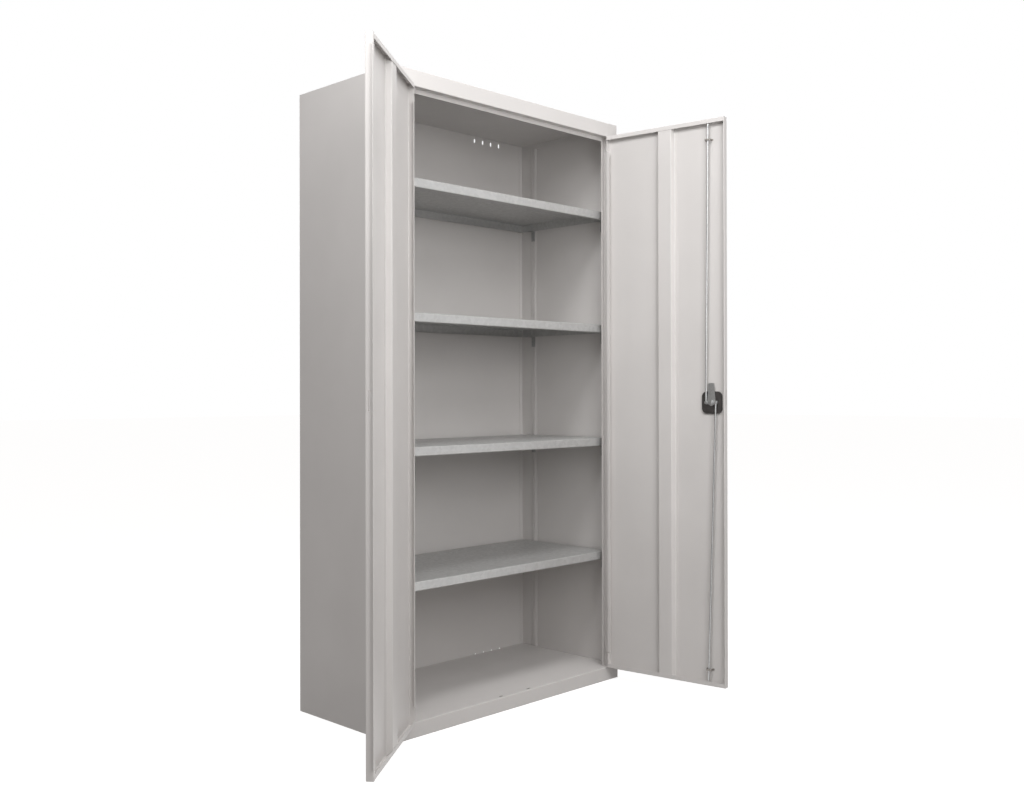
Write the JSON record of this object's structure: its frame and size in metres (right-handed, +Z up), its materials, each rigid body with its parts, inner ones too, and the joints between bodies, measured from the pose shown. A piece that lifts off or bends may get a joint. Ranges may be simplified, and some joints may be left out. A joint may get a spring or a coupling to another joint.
{
  "type": "metal storage cabinet",
  "caption": "Tall sheet steel storage cabinet with two hinged doors in a full frame, galvanised shelves on clips and a wing handle lock that drives two rods.",
  "frame": {"origin": "on the floor, in the middle of the foot flange under the plinth, half way between the sides", "axes": "+X from the left door to the right door as seen from the front, +Y from the front to the back, +Z up"},
  "size_m": [1.3243, 0.936, 1.95],
  "materials": {
    "paint": "light warm grey powder coat, fine texture, satin",
    "galvanised": "hot-dip galvanised sheet with fine spangle",
    "zinc": "bright zinc plate",
    "dark_steel": "dark phosphated steel",
    "black_plastic": "moulded black plastic"
  },
  "bodies": {
    "carcass": {"left_side_panel": "paint", "right_side_panel": "paint", "back_panel": "paint", "top_panel": "paint", "floor_panel": "paint", "left_front_shelf_rail": "paint", "left_back_shelf_rail": "paint", "right_front_shelf_rail": "paint", "right_back_shelf_rail": "paint", "shelf_1_left_front_clip": "zinc", "shelf_1_left_back_clip": "zinc", "shelf_1_right_front_clip": "zinc", "shelf_1_right_back_clip": "zinc", "shelf_2_left_front_clip": "zinc", "shelf_2_left_back_clip": "zinc", "shelf_2_right_front_clip": "zinc", "shelf_2_right_back_clip": "zinc", "shelf_3_left_front_clip": "zinc", "shelf_3_left_back_clip": "zinc", "shelf_3_right_front_clip": "zinc", "shelf_3_right_back_clip": "zinc", "shelf_4_left_front_clip": "zinc", "shelf_4_left_back_clip": "zinc", "shelf_4_right_front_clip": "zinc", "shelf_4_right_back_clip": "zinc", "left_lower_frame_barrel": "paint", "left_lower_hinge_pin": "zinc", "left_upper_frame_barrel": "paint", "left_upper_hinge_pin": "zinc", "right_lower_frame_barrel": "paint", "right_lower_hinge_pin": "zinc", "right_upper_frame_barrel": "paint", "right_upper_hinge_pin": "zinc"},
    "left_door": {"left_door_panel": "paint", "left_door_stiffener": "paint", "meeting_strip": "paint", "left_lower_door_barrel": "paint", "left_upper_door_barrel": "paint"},
    "right_door": {"right_door_panel": "paint", "right_door_stiffener": "paint", "right_lower_door_barrel": "paint", "right_upper_door_barrel": "paint", "lock_housing": "black_plastic", "upper_rod_strap": "dark_steel", "lower_rod_strap": "dark_steel"},
    "lock": {"lock_handle": "black_plastic", "lock_spindle": "zinc", "lock_cam": "zinc", "lock_nut": "zinc"},
    "key_plug": {"lock_plug": "zinc"},
    "upper_rod": {"upper_rod": "zinc"},
    "lower_rod": {"lower_rod": "zinc"},
    "shelf_1": {"shelf_1": "galvanised"},
    "shelf_2": {"shelf_2": "galvanised"},
    "shelf_3": {"shelf_3": "galvanised"},
    "shelf_4": {"shelf_4": "galvanised"}
  },
  "joints": [
    {"name": "left_door_swing", "type": "hinge", "parent": "carcass", "child": "left_door", "pos_m": [-0.457, -0.0178, 0], "axis": [0, 0, -1], "range_deg": [-142.5, 37.5]},
    {"name": "right_door_swing", "type": "hinge", "parent": "carcass", "child": "right_door", "pos_m": [0.457, -0.0178, 0], "axis": [0, 0, 1], "range_deg": [-97, 83]},
    {"name": "handle_turn", "type": "hinge", "parent": "right_door", "child": "lock", "pos_m": [0.50085, -0.41844, 0.972], "axis": [0.9925, 0.1219, 0], "range_deg": [0, 90]},
    {"name": "key_turn", "type": "hinge", "parent": "lock", "child": "key_plug", "pos_m": [0.50085, -0.41844, 0.972], "axis": [0.9925, 0.1219, 0], "range_deg": [0, 90]},
    {"name": "upper_rod_swing", "type": "hinge", "parent": "lock", "child": "upper_rod", "pos_m": [0.48526, -0.40222, 0.972], "axis": [0.9925, 0.1219, 0], "range_deg": [-92, 1]},
    {"name": "lower_rod_swing", "type": "hinge", "parent": "lock", "child": "lower_rod", "pos_m": [0.48965, -0.43795, 0.972], "axis": [0.9925, 0.1219, 0], "range_deg": [-92, 1]},
    {"name": "shelf_1_lift", "type": "slide", "parent": "carcass", "child": "shelf_1", "axis": [0, 0, 1], "range_m": [0, 0.05]},
    {"name": "shelf_2_lift", "type": "slide", "parent": "carcass", "child": "shelf_2", "axis": [0, 0, 1], "range_m": [0, 0.05]},
    {"name": "shelf_3_lift", "type": "slide", "parent": "carcass", "child": "shelf_3", "axis": [0, 0, 1], "range_m": [0, 0.05]},
    {"name": "shelf_4_lift", "type": "slide", "parent": "carcass", "child": "shelf_4", "axis": [0, 0, 1], "range_m": [0, 0.05]}
  ],
  "couplings": [
    {"joint": "upper_rod_swing", "follows": "handle_turn", "ratio": -1.0134},
    {"joint": "lower_rod_swing", "follows": "handle_turn", "ratio": -1.013}
  ]
}
